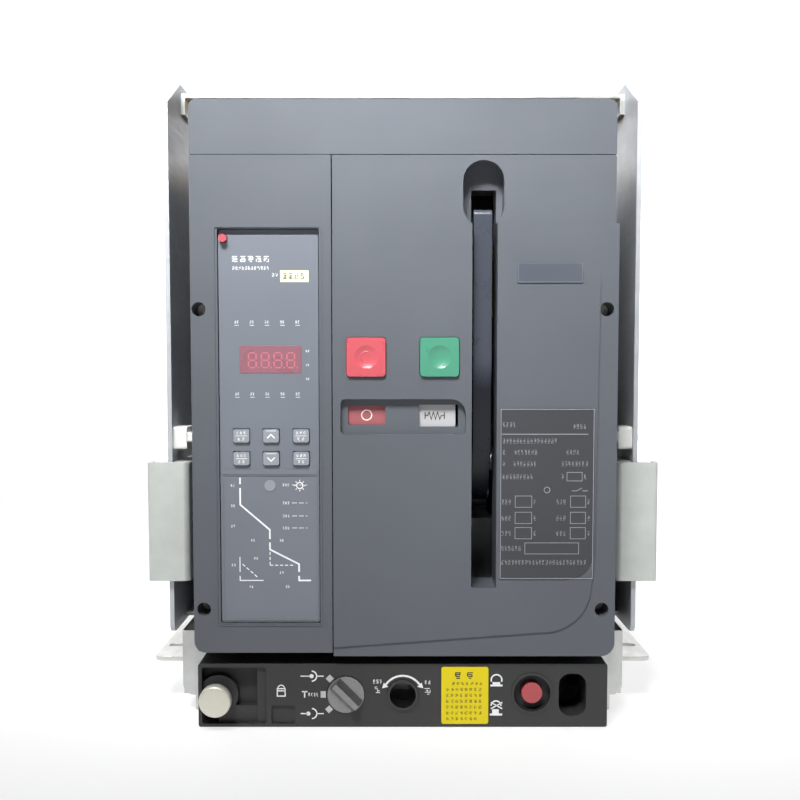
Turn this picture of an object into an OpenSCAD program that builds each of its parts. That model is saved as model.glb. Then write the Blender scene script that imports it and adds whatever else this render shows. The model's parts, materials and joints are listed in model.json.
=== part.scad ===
// Draw-out air circuit breaker with three poles, in its cradle, in the connected and open state.
// Millimetres. The front looks along -Y, +X is to the right of a person who faces it, +Z is up.
// The origin is on the floor, under the middle of the part.

/* [Overall] */
// Width over the mounting feet
overall_w = 282; // [280:1:286]
// Height of the side plates above the floor
overall_h = 351; // [347:1:358]
// Depth from the lock plunger to the rear terminals
overall_d = 352; // [350:1:360]
// Distance between two poles
pole_pitch = 70; // [69:0.25:70]

/* [Cradle] */
// Outside width over the side plates
plates_w = 258.8; // [257:0.2:259]
// Thickness of the side plates and the feet
plate_t = 2.5; // [2:0.1:2.5]
// Thickness of the folded tray sheet
tray_t = 2; // [1.6:0.1:2]
// Height of the tray channels
channel_h = 44.6; // [43.8:0.1:44.6]
// Height of the front panel
panel_h = 33.9; // [33.5:0.1:36]
// Width of the front panel
panel_w = 216; // [215:0.5:220]
// Length of the rear terminals behind the contact base
terminal_reach = 48; // [46:1:56]
// Diameter of the bolt holes in the rear terminals
terminal_hole_d = 11; // [9:0.5:13]

/* [Breaker] */
// Width of the front covers
cover_w = 218; // [217:0.5:219]
// Top of the top cover
cover_top = 325.6; // [322:0.2:327]
// Line between the top cover and the covers below it
cover_split_z = 298.1; // [298:0.1:299]
// Bottom of the main cover
cover_bottom = 39; // [38:0.2:42]
// Thickness of the moulded covers
cover_t = 2.5; // [2:0.1:2.8]
// Width of the moulded body behind the covers
body_w = 216; // [215:0.2:216]
// Thickness of the stabs and terminals
stab_t = 10; // [9:0.5:10]
// Width of the stabs and terminals
stab_w = 50; // [46:1:50]

/* [Motion] */
// Opening angle of the moving contacts
contact_angle = 18; // [12:0.5:18]
// Travel of the two flags behind their windows
flag_travel = 11; // [10.5:0.1:11]

/* [Hidden] */
$fn = 48;

// gaps
slide_gap = 0.3;
shaft_gap = 0.06;
slop = 1;

// planes along the depth, from the front to the back
plunger_front = -overall_d / 2;
plateau_y = -170;
raised_y = -169;
cover_y = -168;
trip_cover_y = -168.5;
panel_y = -165;
panel_back = -136;
tray_front = -134;
plate_front = -130;
cover_back = -110.3;
case_front = -110;
case_back = -20;
base_back = 70;
shutter_y = 72.5;
shutter_t = 2;
contact_front = 78;
contact_wall = 112;
contact_back = overall_d / 2 - terminal_reach;
terminal_end = overall_d / 2;
tray_back = 112;

// heights
body_bottom = 48;
body_top = 300;
upper_z = 250;
lower_z = 120;
screw_z = 17.2;

// half widths
plate_out = plates_w / 2;
plate_in = plate_out - plate_t;
body_x = body_w / 2;
cover_x = cover_w / 2;
cover_split_x = -36.4;

// shafts and pivots
main_shaft_y = -42;
main_shaft_z = 130;
main_shaft_r = 10;
cam_shaft_y = -75;
cam_shaft_z = 200;
cam_shaft_r = 7;
contact_pivot_y = 26;
contact_pivot_z = 160;
contact_pin_r = 4;
handle_x = 41.4;
handle_w = 9.5;
handle_pivot_y = -128;
handle_pivot_z = 122;
handle_pin_r = 4;
mech_x = 34;
mech_t = 2.5;
screw_r = 5;
screw_pitch = 5;

// front features
slot_x0 = 35.5;
slot_x1 = 48.5;
slot_z0 = 75.3;
slot_z1 = 281.5;
button_size = 20;
button_z = 195.1;
button_x = 18.85;
key_w = 8.2;
key_h = 6.9;
key_columns = [-83.45, -68.1, -52.55];
key_rows = [154.5, 142.7];
cover_screw_places = [[104.8, 219.6], [103.8, 63.7]];
knob_x = -30;
knob_z = 17.5;
knob_r = 9.7;
release_x = 68.3;
release_z = 18.1;
release_r = 5.4;
plunger_x = -97.8;
plunger_z = 16.3;
plunger_shaft_r = 4;
reset_x = -91.9;
reset_z = 255.6;
reset_r = 2;
storage_slot = [82.4, 96.9, 6.1, 28.6];
plate_screw_x = 117.4;
plate_screw_ys = [-80, -10, 55];
trip_window = [-95, -43, 56.5, 260.5];
flag_window_red = [-28.4, -9.1, 160.2, 170];
flag_window_white = [8.4, 28.6, 159.2, 170.5];

// ---------- helpers ----------

// a box between two corners
module block(low, high) {
    translate(low) cube(high - low);
}

// an outline in X and Z, pushed back from y_front by depth
module from_front(y_front, depth) {
    translate([0, y_front + depth, 0])
        rotate([90, 0, 0])
            linear_extrude(depth) children();
}

// an outline in Y and Z, pushed right from x_left by width
module from_left(x_left, width) {
    translate([x_left, 0, 0])
        rotate([90, 0, 90])
            linear_extrude(width) children();
}

// a round bar along X, from x0 to x1
module bar_x(x0, x1, y, z, r) {
    translate([x0, y, z]) rotate([0, 90, 0]) cylinder(h = x1 - x0, r = r);
}

// a round bar along Y, from y0 to y1
module bar_y(x, y0, y1, z, r) {
    translate([x, y0, z]) rotate([-90, 0, 0]) cylinder(h = y1 - y0, r = r);
}

// the points of one arc about a centre
function arc(cx, cy, r, from, to, steps = 6) =
    [for (i = [0:steps]) let (a = from + (to - from) * i / steps) [cx + r * cos(a), cy + r * sin(a)]];

// a rectangle with corner radii [lower left, lower right, upper right, upper left]
module panel_shape(x0, x1, y0, y1, radii) {
    r = is_list(radii) ? radii : [radii, radii, radii, radii];
    polygon(concat(
        arc(x0 + r[0], y0 + r[0], r[0], 180, 270),
        arc(x1 - r[1], y0 + r[1], r[1], 270, 360),
        arc(x1 - r[2], y1 - r[2], r[2], 0, 90),
        arc(x0 + r[3], y1 - r[3], r[3], 90, 180)
    ));
}

module both_sides() {
    children();
    mirror([1, 0, 0]) children();
}

module at_poles() {
    for (i = [-1:1]) translate([i * pole_pitch, 0, 0]) children();
}

// the six places of the main contacts
module at_contacts() {
    at_poles() for (z = [lower_z, upper_z]) translate([0, 0, z]) children();
}

// a tube or sleeve with ripples, which stands for a close-wound coil spring
module rippled_spring(length, r_out, r_in, wire) {
    turns = round(length / wire);
    step = length / turns;
    outer = [for (i = [0:turns - 1]) each [[r_out - wire / 3, i * step], [r_out, (i + 0.5) * step]]];
    rotate_extrude()
        polygon(concat([[r_in, 0]], outer, [[r_out - wire / 3, length], [r_in, length]]));
}

// ---------- cradle ----------

module base_tray() {
    inner = panel_w / 2 + 5;
    outer = 121.8;
    strip_bottom = 8.4;
    front_wall_h = 33;
    bearing_y = 66;
    // the cut behind the crank's slot is larger, so that its edge stays out of sight
    slot_edge = 2;
    color("gainsboro") difference() {
        union() {
            block([-inner - tray_t, tray_front, 0], [inner + tray_t, tray_back, tray_t]);
            both_sides() {
                block([inner, tray_front, 0], [inner + tray_t, tray_back, channel_h]);
                block([inner, tray_front, channel_h - tray_t], [outer, tray_back, channel_h]);
                block([outer - tray_t, tray_front, strip_bottom], [outer, tray_back, channel_h]);
                from_front(tray_front, tray_t)
                    panel_shape(inner, outer, strip_bottom, channel_h, [0, 6, 0, 0]);
            }
            block([-inner, tray_front, 0], [inner, tray_front + tray_t, front_wall_h]);
            block([-inner, tray_back - tray_t, 0], [inner, tray_back, channel_h]);
            from_front(bearing_y, 5) panel_shape(-12, 12, 0, 30, [0, 0, 8, 8]);
        }
        // lower outer corner of each channel
        both_sides() from_front(tray_front - slop, tray_t + 2 * slop) difference() {
            translate([outer - 6, strip_bottom]) square([6 + slop, 6]);
            translate([outer - 6, strip_bottom + 6]) circle(r = 6);
        }
        bar_y(0, tray_front - slop, bearing_y + 6, screw_z, screw_r + shaft_gap);
        bar_y(knob_x, tray_front - slop, tray_front + tray_t + slop, knob_z, 3.3);
        bar_y(release_x, tray_front - slop, tray_front + tray_t + slop, release_z, 3.3);
        bar_y(plunger_x, tray_front - slop, tray_front + tray_t + slop, plunger_z,
            plunger_shaft_r + slide_gap);
        from_front(tray_front - slop, tray_t + 2 * slop)
            panel_shape(storage_slot[0] - slot_edge, storage_slot[1] + slot_edge,
                storage_slot[2] - slot_edge, storage_slot[3] + slot_edge, 7);
        // holes for the screws of the side plates
        both_sides() for (y = plate_screw_ys)
            translate([plate_screw_x, y, channel_h - 3]) cylinder(h = 4, r = 2);
    }
}

module side_plate() {
    front_low = 42.4;
    front_high = 333;
    slope_len = 38;
    flange_in = panel_w / 2 + 5;
    color("gray") difference() {
        union() {
            from_left(plate_in, plate_t) polygon(concat(
                arc(plate_front + 5, front_low + 5, 5, 180, 270),
                [[tray_back, front_low], [contact_back, front_low + 16], [contact_back, overall_h]],
                [[plate_front + slope_len, overall_h], [plate_front, front_high]]
            ));
            block([flange_in, -95, channel_h], [plate_in + slop, tray_back, channel_h + plate_t]);
            // pins that carry the guide rail
            for (y = [-60, 40]) bar_x(plate_in - 7, plate_in + slop, y, 105, 4);
        }
        for (y = plate_screw_ys) translate([plate_screw_x, y, channel_h - 1]) cylinder(h = 5, r = 2);
        // rivet of the guide block
        bar_x(plate_in - slop, plate_out + slop, -118, 150.7, 2);
        // screws of the contact base
        for (z = [80, 300]) bar_x(plate_in - slop, plate_out + slop, 120, z, 2.5);
        // lifting eye and vents
        bar_x(plate_in - slop, plate_out + slop, -60, 330, 9);
        bar_x(plate_in - slop, plate_out + slop, 90, 330, 9);
        for (z = [185:20:285]) from_left(plate_in - slop, plate_t + 2 * slop)
            panel_shape(-60, 20, z, z + 8, 3.9);
    }
}

module side_plate_right() {
    side_plate();
}

module side_plate_left() {
    mirror([1, 0, 0]) side_plate();
}

module mounting_feet() {
    leg_x = 121.8;
    foot_z = 23.3;
    y0 = -118;
    y1 = 100;
    slot_x = 132.5;
    slot_r = 3.5;
    slot_run = 2;
    color("silver") both_sides() difference() {
        union() {
            block([leg_x, y0, foot_z], [leg_x + plate_t, y1, 41]);
            translate([0, 0, foot_z]) linear_extrude(plate_t)
                panel_shape(leg_x, overall_w / 2, y0, y1, [0, 5, 5, 0]);
        }
        // slots for the fixing bolts
        for (y = [-90, 90]) translate([slot_x, y, foot_z - slop]) {
            for (x = [-slot_run, slot_run])
                translate([x, 0, 0]) cylinder(h = plate_t + 2 * slop, r = slot_r);
            block([-slot_run, -slot_r, 0], [slot_run, slot_r, plate_t + 2 * slop]);
        }
    }
}

module chassis_panel() {
    half = panel_w / 2;
    wall = 2.5;
    pocket = [-106.1, -72, 1.7, 31.9];
    pocket_back = -156;
    small = [-69.3, -57, 1.7, 11.6];
    small_depth = 1.6;
    boss_r = 10.5;
    boss_front = -161.5;
    step_z = 10.6;
    depth = panel_back - panel_y;
    crank_r = 6.9;
    collar_r = 8.3;
    color("dimgray") difference() {
        union() {
            difference() {
                from_front(panel_y, depth) panel_shape(-half, half, 0, panel_h, 1.2);
                block([-half + wall, panel_y + wall, wall],
                    [half - wall, panel_back + slop, panel_h - wall]);
            }
            // walls of the lock pocket, the small pocket and the storage slot
            from_front(panel_y, pocket_back - panel_y + wall)
                panel_shape(pocket[0] - wall / 2, pocket[1] + wall / 2, 0.8, panel_h - 0.8, 1);
            from_front(panel_y, 9) panel_shape(small[0] - 1.2, small[1] + wall, 0.8, small[3] + wall, 1);
            from_front(panel_y, depth)
                panel_shape(storage_slot[0] - wall, storage_slot[1] + wall,
                    storage_slot[2] - wall, storage_slot[3] + wall, 8);
            bar_y(knob_x, panel_y, panel_y + 10, knob_z, knob_r + 3);
            bar_y(release_x, panel_y, panel_y + 14, release_z, 12);
            bar_y(0, panel_y - 1.2, panel_y + 16, screw_z, collar_r);
            // raised rim round the release button
            bar_y(release_x, panel_y - 0.6, panel_y + wall, release_z, 11);
        }
        from_front(panel_y - slop, pocket_back - panel_y + slop) difference() {
            panel_shape(pocket[0], pocket[1], pocket[2], pocket[3], 1.5);
            // boss round the lock plunger, a step beside it and a rib at the right
            translate([plunger_x, plunger_z]) circle(r = boss_r);
            translate([plunger_x, 0]) square([pocket[1] - plunger_x + slop, step_z]);
            translate([pocket[1] - 5, 0]) square([5 + slop, panel_h]);
        }
        from_front(panel_y - slop, boss_front - panel_y + slop)
            panel_shape(pocket[0], pocket[1] - 5, pocket[2], pocket[3], 1.5);
        from_front(panel_y - slop, 2 + slop) panel_shape(pocket[0], pocket[1], pocket[2], pocket[3], 1.5);
        from_front(panel_y - slop, small_depth + slop)
            panel_shape(small[0], small[1], small[2], small[3], 1);
        from_front(panel_y - slop, depth + 2 * slop)
            panel_shape(storage_slot[0], storage_slot[1], storage_slot[2], storage_slot[3], 6);
        bar_y(plunger_x, boss_front - slop, panel_back + slop, plunger_z, plunger_shaft_r + slide_gap);
        bar_y(knob_x, panel_y - slop, panel_y + 4, knob_z, knob_r + slide_gap);
        bar_y(knob_x, panel_y, panel_back + slop, knob_z, 3.3);
        bar_y(0, panel_y - 2 * slop, panel_back + slop, screw_z, crank_r);
        bar_y(release_x, panel_y - slop, panel_y + 6, release_z, knob_r);
        bar_y(release_x, panel_y, panel_back + slop, release_z, release_r + slide_gap);
    }
}

module warning_label() {
    color("gold") from_front(panel_y - 0.4, 0.4) panel_shape(20.4, 45.2, 1.7, 32.3, 1.2);
}

module contact_base() {
    post_x = 109;
    wall = 3;
    color("darkslategray") difference() {
        union() {
            block([-plate_in, contact_wall, channel_h + plate_t], [plate_in, contact_back, 330]);
            block([-body_x, contact_front, 62], [body_x, contact_wall, 312]);
            // posts that guide the two shutters
            both_sides() block([post_x, base_back - 1, channel_h + plate_t],
                [post_x + 6, contact_wall, 330]);
            both_sides() block([body_x - 1, contact_front, 70], [post_x + 1, contact_wall, 300]);
            // ribs between the poles at the back
            for (x = [-pole_pitch / 2, pole_pitch / 2])
                block([x - 2, contact_back, 60], [x + 2, contact_back + 30, 320]);
        }
        at_contacts() {
            block([-28, contact_front - slop, -8], [28, contact_front + wall + slop, 8]);
            block([-28, contact_front + wall, -19], [28, contact_wall, 19]);
            block([-stab_w / 2, contact_wall - slop, -stab_t / 2],
                [stab_w / 2, contact_back + slop, stab_t / 2]);
        }
        // grooves for the shutters
        block([-post_x - 2.3, shutter_y - 0.5, channel_h], [post_x + 2.3, shutter_y + shutter_t + 0.5, 331]);
        // screws from the side plates
        both_sides() for (z = [80, 300]) bar_x(110, plate_in + slop, 120, z, 2.5);
        // clearance for the tray's rear wall
        block([-plate_in - slop, contact_wall - slop, 0], [plate_in + slop, contact_back + slop, 47.1]);
    }
}

module rear_terminals() {
    front = 98;
    hole_y = terminal_end - 16;
    color("silver") at_contacts() difference() {
        block([-stab_w / 2, front, -stab_t / 2], [stab_w / 2, terminal_end, stab_t / 2]);
        for (x = [-12.5, 12.5])
            translate([x, hole_y, -stab_t]) cylinder(h = 2 * stab_t, d = terminal_hole_d);
    }
}

// one gripping contact: sprung fingers above and below, in a cage
module finger_cluster() {
    finger_w = 5;
    finger_pitch = 7;
    grip = stab_t / 2;
    half = stab_t / 2 + 0.4;
    for (side = [0, 1]) mirror([0, 0, side]) {
        for (i = [-3:3]) from_left(i * finger_pitch - finger_w / 2, finger_w) polygon([
            [83, half + 3], [86, half], [98, half], [100, grip], [110, grip],
            [110, grip + 6], [92, grip + 7], [84, grip + 6]
        ]);
        block([-27, 88, grip + 6], [27, 92, grip + 9]);
        block([-27, 101, grip + 5], [27, 105, grip + 9]);
    }
    both_sides() block([25.6, 88, -grip - 9], [27, 105, grip + 9]);
}

module finger_clusters() {
    color("peru") at_contacts() finger_cluster();
}

module top_bridge() {
    color("lightgray") difference() {
        union() {
            block([-plate_in, -92, 343.2], [plate_in, -48, 345.7]);
            both_sides() block([plate_in - plate_t, -92, 334], [plate_in, -48, 345.7]);
        }
        both_sides() bar_x(plate_in - 2 * plate_t, plate_in + slop, -60, 330, 9);
        for (x = [-80, 80]) translate([x, -70, 340]) cylinder(h = 10, r = 2.2);
    }
}

socket_xs = [-69, -23, 23, 69];

module secondary_socket() {
    color("darkslategray") difference() {
        union() {
            block([-95, -85, 322], [95, -55, 343.2]);
            for (x = [-80, 80]) translate([x, -70, 343.2]) cylinder(h = 4, r = 2.2);
        }
        for (x = socket_xs) {
            block([x - 19, -86, 327.4], [x + 19, -68, 334.6]);
            // cable entries at the back
            for (i = [-3:3]) bar_y(x + i * 5.5, -62, -54, 338.5, 1.6);
        }
    }
}

module guide_blocks() {
    z0 = 144.5;
    z1 = 156.9;
    rivet_z = 150.7;
    color("white") both_sides() {
        from_left(119.4, plate_in - 119.4) panel_shape(-127, -108, z0, z1, 1.5);
        from_left(111.5, 9) panel_shape(-126, -118, 148.5, 154, 1);
        bar_x(plate_in - slop, plate_out, -118, rivet_z, 2);
        bar_x(plate_out, plate_out + 1.8, -118, rivet_z, 4);
    }
}

// a socket-head screw that points along -Z, its head resting on z = 0
module cap_screw(shank_r, shank_l, head_r, head_h) {
    difference() {
        union() {
            translate([0, 0, -shank_l]) cylinder(h = shank_l, r = shank_r);
            cylinder(h = head_h, r = head_r);
        }
        translate([0, 0, head_h / 2]) cylinder(h = head_h, r = head_r / 2, $fn = 6);
    }
}

module chassis_screws() {
    color("silver") both_sides() {
        for (y = plate_screw_ys) translate([plate_screw_x, y, channel_h + plate_t]) cap_screw(2, 9, 4, 3);
        for (z = [80, 300]) translate([plate_out, 120, z]) rotate([0, 90, 0]) cap_screw(2.5, 18, 4.5, 3);
    }
}

module guide_rail() {
    z0 = 72.2;
    z1 = 137.8;
    web_x = 117.3;
    t = 1.5;
    lip_x = 140.1;
    rail_back = 66;
    bend_r = 3.5;
    color("lightgray") {
        from_left(web_x, t) panel_shape(plate_front, rail_back, z0, z1, 0.5);
        for (z = [z0, z1 - t]) block([web_x, plate_front - 2, z], [plate_in - 0.5, rail_back, z + t]);
        translate([0, 0, z0]) linear_extrude(z1 - z0) difference() {
            polygon(concat(
                [[web_x + t, plate_front + 2], [web_x, plate_front + 2]],
                arc(web_x + bend_r, tray_front + bend_r, bend_r, 180, 270),
                arc(lip_x - 2, tray_front + 2, 2, 270, 360),
                [[lip_x, plate_front + 6], [lip_x - 2, plate_front + 6], [lip_x - 2, tray_front + 2]],
                [[web_x + bend_r, tray_front + 2]],
                [[web_x + t, tray_front + bend_r]]
            ));
        }
    }
}

module guide_rail_right() {
    guide_rail();
}

module guide_rail_left() {
    mirror([1, 0, 0]) guide_rail();
}

module racking_screw() {
    thread_front = -126;
    thread_back = 60;
    turns = (thread_back - thread_front) / screw_pitch - 1;
    depth = 0.8;
    color("silver") {
        translate([0, thread_front, screw_z]) rotate([-90, 0, 0]) rotate_extrude()
            polygon(concat(
                [[0, 0]],
                [for (i = [0:turns]) each [
                    [screw_r, i * screw_pitch], [screw_r, i * screw_pitch + 2.2],
                    [screw_r - depth, i * screw_pitch + 3.2], [screw_r - depth, i * screw_pitch + 4]
                ]],
                [[screw_r - depth, thread_back - thread_front], [0, thread_back - thread_front]]
            ));
        bar_y(0, -138, thread_front, screw_z, screw_r);
        bar_y(0, -131.6, -128, screw_z, 7.5);
        bar_y(0, thread_back, 74, screw_z, screw_r);
        // square end for the crank, behind the collar
        block([-3.5, -142, screw_z - 3.5], [3.5, -137, screw_z + 3.5]);
    }
}

module racking_carriage() {
    half = 105;
    y0 = -85;
    y1 = 60;
    plate_z = 6;
    lug_front = 56.3;
    lug_top = 45;
    color("darkgray") difference() {
        union() {
            block([-half, y0, plate_z], [half, y1, plate_z + 2.5]);
            both_sides() {
                block([half - 2.5, y0, plate_z], [half, y1, 24]);
                // sliding pads
                for (y = [y0 + 5, y1 - 25])
                    block([half - 22, y, tray_t + slide_gap], [half - 6, y + 18, plate_z + 1]);
                // lugs that push the breaker out
                for (x = [46, 58]) block([x, lug_front, plate_z], [x + 3, lug_front + 8, lug_top]);
                block([46, lug_front, plate_z], [61, lug_front + 3, lug_top]);
            }
            block([-15, y0 + 4, plate_z], [15, y0 + 24, 30]);
        }
        bar_y(0, y0 - slop, y1 + 10, screw_z, screw_r + shaft_gap);
    }
}

module position_knob() {
    disc_front = panel_y - 0.8;
    grip_front = panel_y - 6;
    grip_half = knob_r - 1.2;
    color("silver") {
        bar_y(knob_x, disc_front, panel_y + 3.7, knob_z, knob_r);
        bar_y(knob_x, panel_y + 3.7, tray_front + 6, knob_z, 3);
        // the grip, which points to the upper left in the connected position
        translate([knob_x, 0, knob_z]) rotate([0, -45, 0]) translate([0, 0, -grip_half])
            linear_extrude(2 * grip_half)
                polygon([
                    [-4.4, disc_front + 0.5], [-1.5, grip_front],
                    [1.5, grip_front], [4.4, disc_front + 0.5]
                ]);
    }
}

module release_button() {
    color("red") {
        bar_y(release_x, panel_y + 0.5, panel_y + 16, release_z, release_r);
        bar_y(release_x, panel_y + 16, tray_front + 4, release_z, 3);
    }
}

module lock_plunger() {
    groove = 1.2;
    head_r = 8.4;
    head_l = 9;
    color("linen") {
        translate([plunger_x, plunger_front, plunger_z]) rotate([-90, 0, 0]) rotate_extrude()
            polygon(concat(
                [[0, 0]],
                arc(head_r - 1.5, 1.5, 1.5, 270, 360, 4),
                [[head_r, 5.5], [head_r - groove, 6], [head_r - groove, 7], [head_r, 7.5]],
                [[head_r, head_l], [plunger_shaft_r, head_l]],
                [[plunger_shaft_r, 52], [0, 52]]
            ));
    }
}

// a shutter with one window for each pole; drop is -1 for one that closes upwards
module shutter(z, drop) {
    half = 111;
    window_near = 6;
    window_far = 22;
    color("linen") difference() {
        block([-half, shutter_y, z - 32], [half, shutter_y + shutter_t, z + 32]);
        at_poles() block(
            [-29, shutter_y - slop, z + (drop < 0 ? -window_far : -window_near)],
            [29, shutter_y + shutter_t + slop, z + (drop < 0 ? window_near : window_far)]
        );
    }
}

module shutter_upper() {
    shutter(upper_z, -1);
}

module shutter_lower() {
    shutter(lower_z, 1);
}

// ---------- breaker, fixed pieces ----------

module pole_base() {
    front_wall = 8;
    rear_wall = 8;
    chamber_x = 31;
    chamber_z0 = 60;
    chamber_z1 = body_top + slop;
    y0 = case_back + front_wall;
    y1 = base_back - rear_wall;
    color("darkslategray") difference() {
        union() {
            difference() {
                block([-body_x, case_back, body_bottom], [body_x, base_back, body_top]);
                at_poles() block([-chamber_x, y0, chamber_z0], [chamber_x, y1, chamber_z1]);
            }
            // bosses that hold the pivot pins of the moving contacts
            at_poles() both_sides()
                bar_x(chamber_x - 4, chamber_x + slop, contact_pivot_y, contact_pivot_z, 8);
            // feet that the racking carriage pushes
            both_sides() block([46, 48, 38], [61, 56, body_bottom + slop]);
        }
        at_contacts()
            block([-stab_w / 2, y1 - slop, -stab_t / 2], [stab_w / 2, base_back + slop, stab_t / 2]);
        at_poles() {
            block([-9, case_back - slop, 138], [9, y0 + slop, 184]);
            bar_x(-chamber_x + 0.2, chamber_x - 0.2, contact_pivot_y, contact_pivot_z,
                contact_pin_r + shaft_gap);
        }
        // grooves between the poles at the back
        for (x = [-pole_pitch / 2, pole_pitch / 2])
            block([x - 1.5, base_back - 5, 60], [x + 1.5, base_back + slop, 290]);
    }
}

module front_case() {
    wall = 3;
    boss_l = 14;
    color("slategray") difference() {
        union() {
            difference() {
                block([-body_x, case_front, body_bottom], [body_x, case_back, body_top]);
                block([-body_x + wall, case_front - slop, body_bottom + wall],
                    [body_x - wall, case_back + slop, body_top - wall]);
                block([-90, case_front + 30, body_top - wall - slop], [90, case_back - 12, body_top + slop]);
            }
            both_sides() for (p = cover_screw_places)
                block([p[0] - 7, case_front, p[1] - 7],
                    [body_x - wall + slop, case_front + boss_l, p[1] + 7]);
        }
        both_sides() for (p = cover_screw_places) bar_y(p[0], case_front - slop, case_front + 12, p[1], 2);
    }
}

module cover_post(x, z, front, back) {
    bar_y(x, front, back, z, 5.6);
}

module cover_post_hole(x, z, front, back) {
    bar_y(x, front - 2 * slop, -150, z, 3.6);
    bar_y(x, -151, back + slop, z, 2.2);
}

module main_cover() {
    right = cover_x;
    right_low = cover_x + 1.7;
    step_z = 263.1;
    top = cover_split_z - 0.4;
    bowl = [30.8, 51.8, 261.4, 295.2];
    bowl_r = 10.4;
    bowl_back = -157;
    recess = [-32.1, 32.6, 155.2, 173.5];
    recess_back = -166.5;
    flag_wall = 1.5;
    b = button_size / 2 + slide_gap;
    left = cover_split_x + 0.3;
    color("slategray") difference() {
        union() {
            // face, the prouder lower part and the plateau
            from_front(cover_y, cover_t) panel_shape(left, right, cover_bottom, top, [0.5, 7, 1.5, 0.5]);
            from_front(raised_y, cover_t + 1)
                panel_shape(left, right_low, cover_bottom, step_z, [0.5, 7, 0.8, 0.5]);
            from_front(plateau_y, cover_t + 2) polygon(concat(
                [[left, 44]],
                arc(74, 76, 24, 278, 350, 10),
                [[99.6, 90]],
                arc(101.3 - 14, 248 - 14, 14, 0, 90, 8),
                [[left, 248]]
            ));
            // right side, bottom and top edges
            block([right - cover_t, cover_y + slop, cover_bottom + 6], [right, cover_back, top - 1]);
            block([right - cover_t, cover_y + slop, cover_bottom + 6], [right_low, cover_back, step_z]);
            block([left, cover_y + slop, cover_bottom], [right - 5, cover_back, cover_bottom + cover_t]);
            from_front(cover_y + slop, cover_back - cover_y - slop) difference() {
                panel_shape(right - 12, right_low, cover_bottom, cover_bottom + 12, [0, 7, 0, 0]);
                translate([right - 13, cover_bottom + cover_t]) square([13 - cover_t, 12]);
                translate([right - 13, cover_bottom + 12]) square([20, 2]);
            }
            block([left, cover_y + slop, top - cover_t], [right - 1, cover_y + 14, top]);
            block([left, cover_y + slop, cover_bottom], [left + cover_t, cover_y + 16, top]);
            // bowl round the end of the handle
            from_front(cover_y + slop, bowl_back - cover_y - slop + 2)
                panel_shape(bowl[0] - 2, bowl[1] + 2, bowl[2] - 2, bowl[3] + 2, bowl_r + 2);
            // cheeks of the handle slot
            block([slot_x0 - 2, cover_y + slop, slot_z0 - 2], [slot_x1 + 2, -140, slot_z1]);
            // collars of the buttons
            for (x = [-button_x, button_x])
                block([x - b - 1.5, cover_y + slop, button_z - b - 1.5],
                    [x + b + 1.5, -157, button_z + b + 1.5]);
            for (p = cover_screw_places) cover_post(p[0], p[1], cover_y + slop, cover_back);
        }
        from_front(plateau_y - slop, bowl_back - plateau_y + slop)
            panel_shape(bowl[0], bowl[1], bowl[2], bowl[3], bowl_r);
        from_front(plateau_y - slop, 40) panel_shape(slot_x0, slot_x1, slot_z0, slot_z1, 1);
        for (x = [-button_x, button_x]) from_front(plateau_y - slop, 20)
            panel_shape(x - b, x + b, button_z - b, button_z + b, 2);
        from_front(plateau_y - slop, recess_back - plateau_y + slop)
            panel_shape(recess[0], recess[1], recess[2], recess[3], [2.5, 2.5, 8, 2.5]);
        // hollow behind the recess, leaving a thin floor
        block([recess[0] + 1, recess_back + flag_wall, 146], [recess[1] - 2, cover_y + 5, 183]);
        for (w = [flag_window_red, flag_window_white])
            block([w[0], recess_back - slop, w[2]], [w[1], recess_back + flag_wall + slop, w[3]]);
        for (p = cover_screw_places) cover_post_hole(p[0], p[1], plateau_y, cover_back);
    }
}

module trip_cover() {
    left = -cover_x;
    right = cover_split_x - 0.3;
    bottom = cover_bottom + 1.7;
    top = cover_split_z - 0.4;
    w = trip_window;
    color("slategray") difference() {
        union() {
            from_front(trip_cover_y, cover_t) panel_shape(left, right, bottom, top, [6, 0.5, 0.5, 1.5]);
            // thin raised line round the window
            from_front(trip_cover_y - 0.5, cover_t) difference() {
                panel_shape(w[0] - 2.1, w[1] + 1.2, w[2] - 1.5, w[3] + 1.4, 1);
                panel_shape(w[0] - 1.3, w[1] + 0.5, w[2] - 0.8, w[3] + 0.6, 0.8);
            }
            block([left, trip_cover_y + slop, bottom + 6], [left + cover_t, cover_back, top - 1]);
            block([left + 5, trip_cover_y + slop, bottom], [right, cover_back, bottom + cover_t]);
            from_front(trip_cover_y + slop, cover_back - trip_cover_y - slop) difference() {
                panel_shape(left, left + 12, bottom, bottom + 12, [6, 0, 0, 0]);
                translate([left + cover_t, bottom + cover_t]) square([12, 12]);
                translate([left - 1, bottom + 11]) square([20, 2]);
            }
            block([left + 1, trip_cover_y + slop, top - cover_t], [right, trip_cover_y + 14, top]);
            block([right - cover_t, trip_cover_y + slop, bottom], [right, trip_cover_y + 16, top]);
            // frame behind the window
            from_front(trip_cover_y + slop, 9) panel_shape(w[0] - 2, w[1] + 2, w[2] - 2, w[3] + 2, 1.5);
            mirror([1, 0, 0]) for (p = cover_screw_places)
                cover_post(p[0] - 1.4, p[1], trip_cover_y + slop, cover_back);
        }
        from_front(trip_cover_y - slop, 14) panel_shape(w[0], w[1], w[2], w[3], 0.8);
        mirror([1, 0, 0]) for (p = cover_screw_places)
            cover_post_hole(p[0], p[1], trip_cover_y, cover_back);
    }
}

module top_cover() {
    top = cover_top;
    color("slategray") difference() {
        from_front(cover_y, cover_back - cover_y)
            panel_shape(-cover_x, cover_x, cover_split_z, top, [0.5, 0.5, 4, 4]);
        from_front(cover_y + cover_t, cover_back - cover_y)
            panel_shape(-cover_x + cover_t, cover_x - cover_t, cover_split_z - 5, top - cover_t,
                [0.5, 0.5, 2, 2]);
        // shallow notch for a screwdriver that lifts the cover
        block([-6, cover_y + 20, top - cover_t - slop], [6, cover_y + 24, top + slop]);
    }
}

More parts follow.
